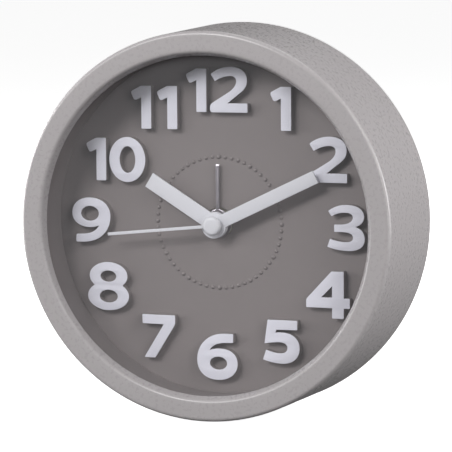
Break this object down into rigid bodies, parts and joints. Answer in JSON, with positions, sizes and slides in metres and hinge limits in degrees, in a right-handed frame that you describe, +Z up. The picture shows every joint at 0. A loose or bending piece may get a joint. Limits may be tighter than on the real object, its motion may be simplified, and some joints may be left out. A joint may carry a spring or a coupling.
{
  "type": "alarm clock",
  "caption": "Round bedside alarm clock: thick drum case, deep recessed dial with raised numerals, hour, minute, second and alarm hands, setting knobs and battery door behind.",
  "frame": {"origin": "middle of the ground under the feet: centred on the width and the depth, at the height of the feet's undersides", "axes": "+Z up, -Y out of the dial towards the reader, +X to the reader's right; the hands turn about a line along Y at z = 59.85 mm"},
  "size_m": [0.1234, 0.0442, 0.122],
  "materials": {
    "case_plastic": "satin warm grey, fine mould texture",
    "dial_plastic": "satin taupe grey",
    "numeral_white": "matt white printed face",
    "hand_white": "satin white paint",
    "cap_white": "smooth white plastic",
    "silver_paint": "satin silver",
    "lens_clear": "clear polished acrylic",
    "natural_plastic": "natural acetal",
    "black_plastic": "matt black",
    "resin_black": "glossy black resin",
    "steel": "plain steel",
    "brass": "turned and stamped",
    "ferrite": "sintered dark grey",
    "copper_wire": "enamelled copper wire",
    "board_green": "solder-masked laminate",
    "cell_wrap": "printed sleeve, plain",
    "rubber_dark": "matt rubber"
  },
  "bodies": {
    "clock": {"case": "case_plastic", "lens": "lens_clear", "dial": "dial_plastic", "dial_ring": "dial_plastic", "numeral_blocks": "dial_plastic", "numeral_faces": "numeral_white", "movement_front": "natural_plastic", "movement_back": "natural_plastic", "middle_plate": "natural_plastic", "stator": "steel", "coil_core": "steel", "coil_bobbin": "natural_plastic", "coil_winding": "copper_wire", "circuit_board": "board_green", "chip_cover": "resin_black", "quartz_crystal": "steel", "sounder": "black_plastic", "sounder_contacts": "brass", "alarm_leaf": "brass", "positive_contact": "steel", "negative_contact": "steel", "battery_cell": "cell_wrap", "back_cover": "case_plastic", "cover_screws": "steel", "movement_screws": "steel", "feet": "rubber_dark"},
    "minute": {"minute_hand": "hand_white", "centre_wheel": "brass"},
    "hour": {"hour_hand": "hand_white", "hour_wheel": "natural_plastic"},
    "second": {"second_hand": "hand_white", "centre_cap": "cap_white", "second_wheel": "brass"},
    "third": {"third_wheel": "brass"},
    "fifth": {"fifth_wheel": "natural_plastic"},
    "rotor": {"rotor_pinion": "natural_plastic", "rotor_magnet": "ferrite"},
    "time_setting": {"motion_wheel": "natural_plastic", "time_knob": "case_plastic"},
    "alarm": {"alarm_hand": "silver_paint", "alarm_wheel": "natural_plastic"},
    "alarm_setting": {"alarm_arbor": "natural_plastic", "alarm_knob": "case_plastic"},
    "alarm_switch": {"alarm_switch": "black_plastic"},
    "battery_door": {"battery_door": "case_plastic"}
  },
  "joints": [
    {"name": "minute_turn", "type": "hinge", "parent": "clock", "child": "minute", "pos_m": [0, -0.0005, 0.05985], "axis": [0, 1, 0], "continuous": true},
    {"name": "hour_turn", "type": "hinge", "parent": "clock", "child": "hour", "pos_m": [0, -0.0005, 0.05985], "axis": [0, 1, 0], "continuous": true},
    {"name": "second_turn", "type": "hinge", "parent": "clock", "child": "second", "pos_m": [0, -0.0005, 0.05985], "axis": [0, 1, 0], "continuous": true},
    {"name": "third_turn", "type": "hinge", "parent": "clock", "child": "third", "pos_m": [-0.00308, -0.0005, 0.06831], "axis": [0, 1, 0], "continuous": true},
    {"name": "fifth_turn", "type": "hinge", "parent": "clock", "child": "fifth", "pos_m": [0.00779, -0.0005, 0.06435], "axis": [0, 1, 0], "continuous": true},
    {"name": "rotor_turn", "type": "hinge", "parent": "clock", "child": "rotor", "pos_m": [0.0145, -0.0005, 0.06997], "axis": [0, 1, 0], "continuous": true},
    {"name": "time_setting_turn", "type": "hinge", "parent": "clock", "child": "time_setting", "pos_m": [-0.012, -0.0005, 0.05985], "axis": [0, 1, 0], "continuous": true},
    {"name": "alarm_setting_turn", "type": "hinge", "parent": "clock", "child": "alarm_setting", "pos_m": [0.01175, -0.0005, 0.05557], "axis": [0, 1, 0], "continuous": true},
    {"name": "alarm_turn", "type": "hinge", "parent": "clock", "child": "alarm", "pos_m": [0, -0.0005, 0.05985], "axis": [0, 1, 0], "continuous": true},
    {"name": "alarm_switch_slide", "type": "slide", "parent": "clock", "child": "alarm_switch", "axis": [1, 0, 0], "range_m": [0, 0.004]},
    {"name": "battery_door_hinge", "type": "hinge", "parent": "clock", "child": "battery_door", "pos_m": [0, 0.01625, 0.02965], "axis": [-1, 0, 0], "range_deg": [0, 80]}
  ],
  "couplings": [
    {"joint": "hour_turn", "follows": "minute_turn", "ratio": 0.083333},
    {"joint": "third_turn", "follows": "minute_turn", "ratio": -8},
    {"joint": "second_turn", "follows": "minute_turn", "ratio": 60},
    {"joint": "fifth_turn", "follows": "minute_turn", "ratio": -300},
    {"joint": "rotor_turn", "follows": "minute_turn", "ratio": 1800},
    {"joint": "time_setting_turn", "follows": "minute_turn", "ratio": -0.33333},
    {"joint": "alarm_turn", "follows": "alarm_setting_turn", "ratio": -0.25}
  ]
}
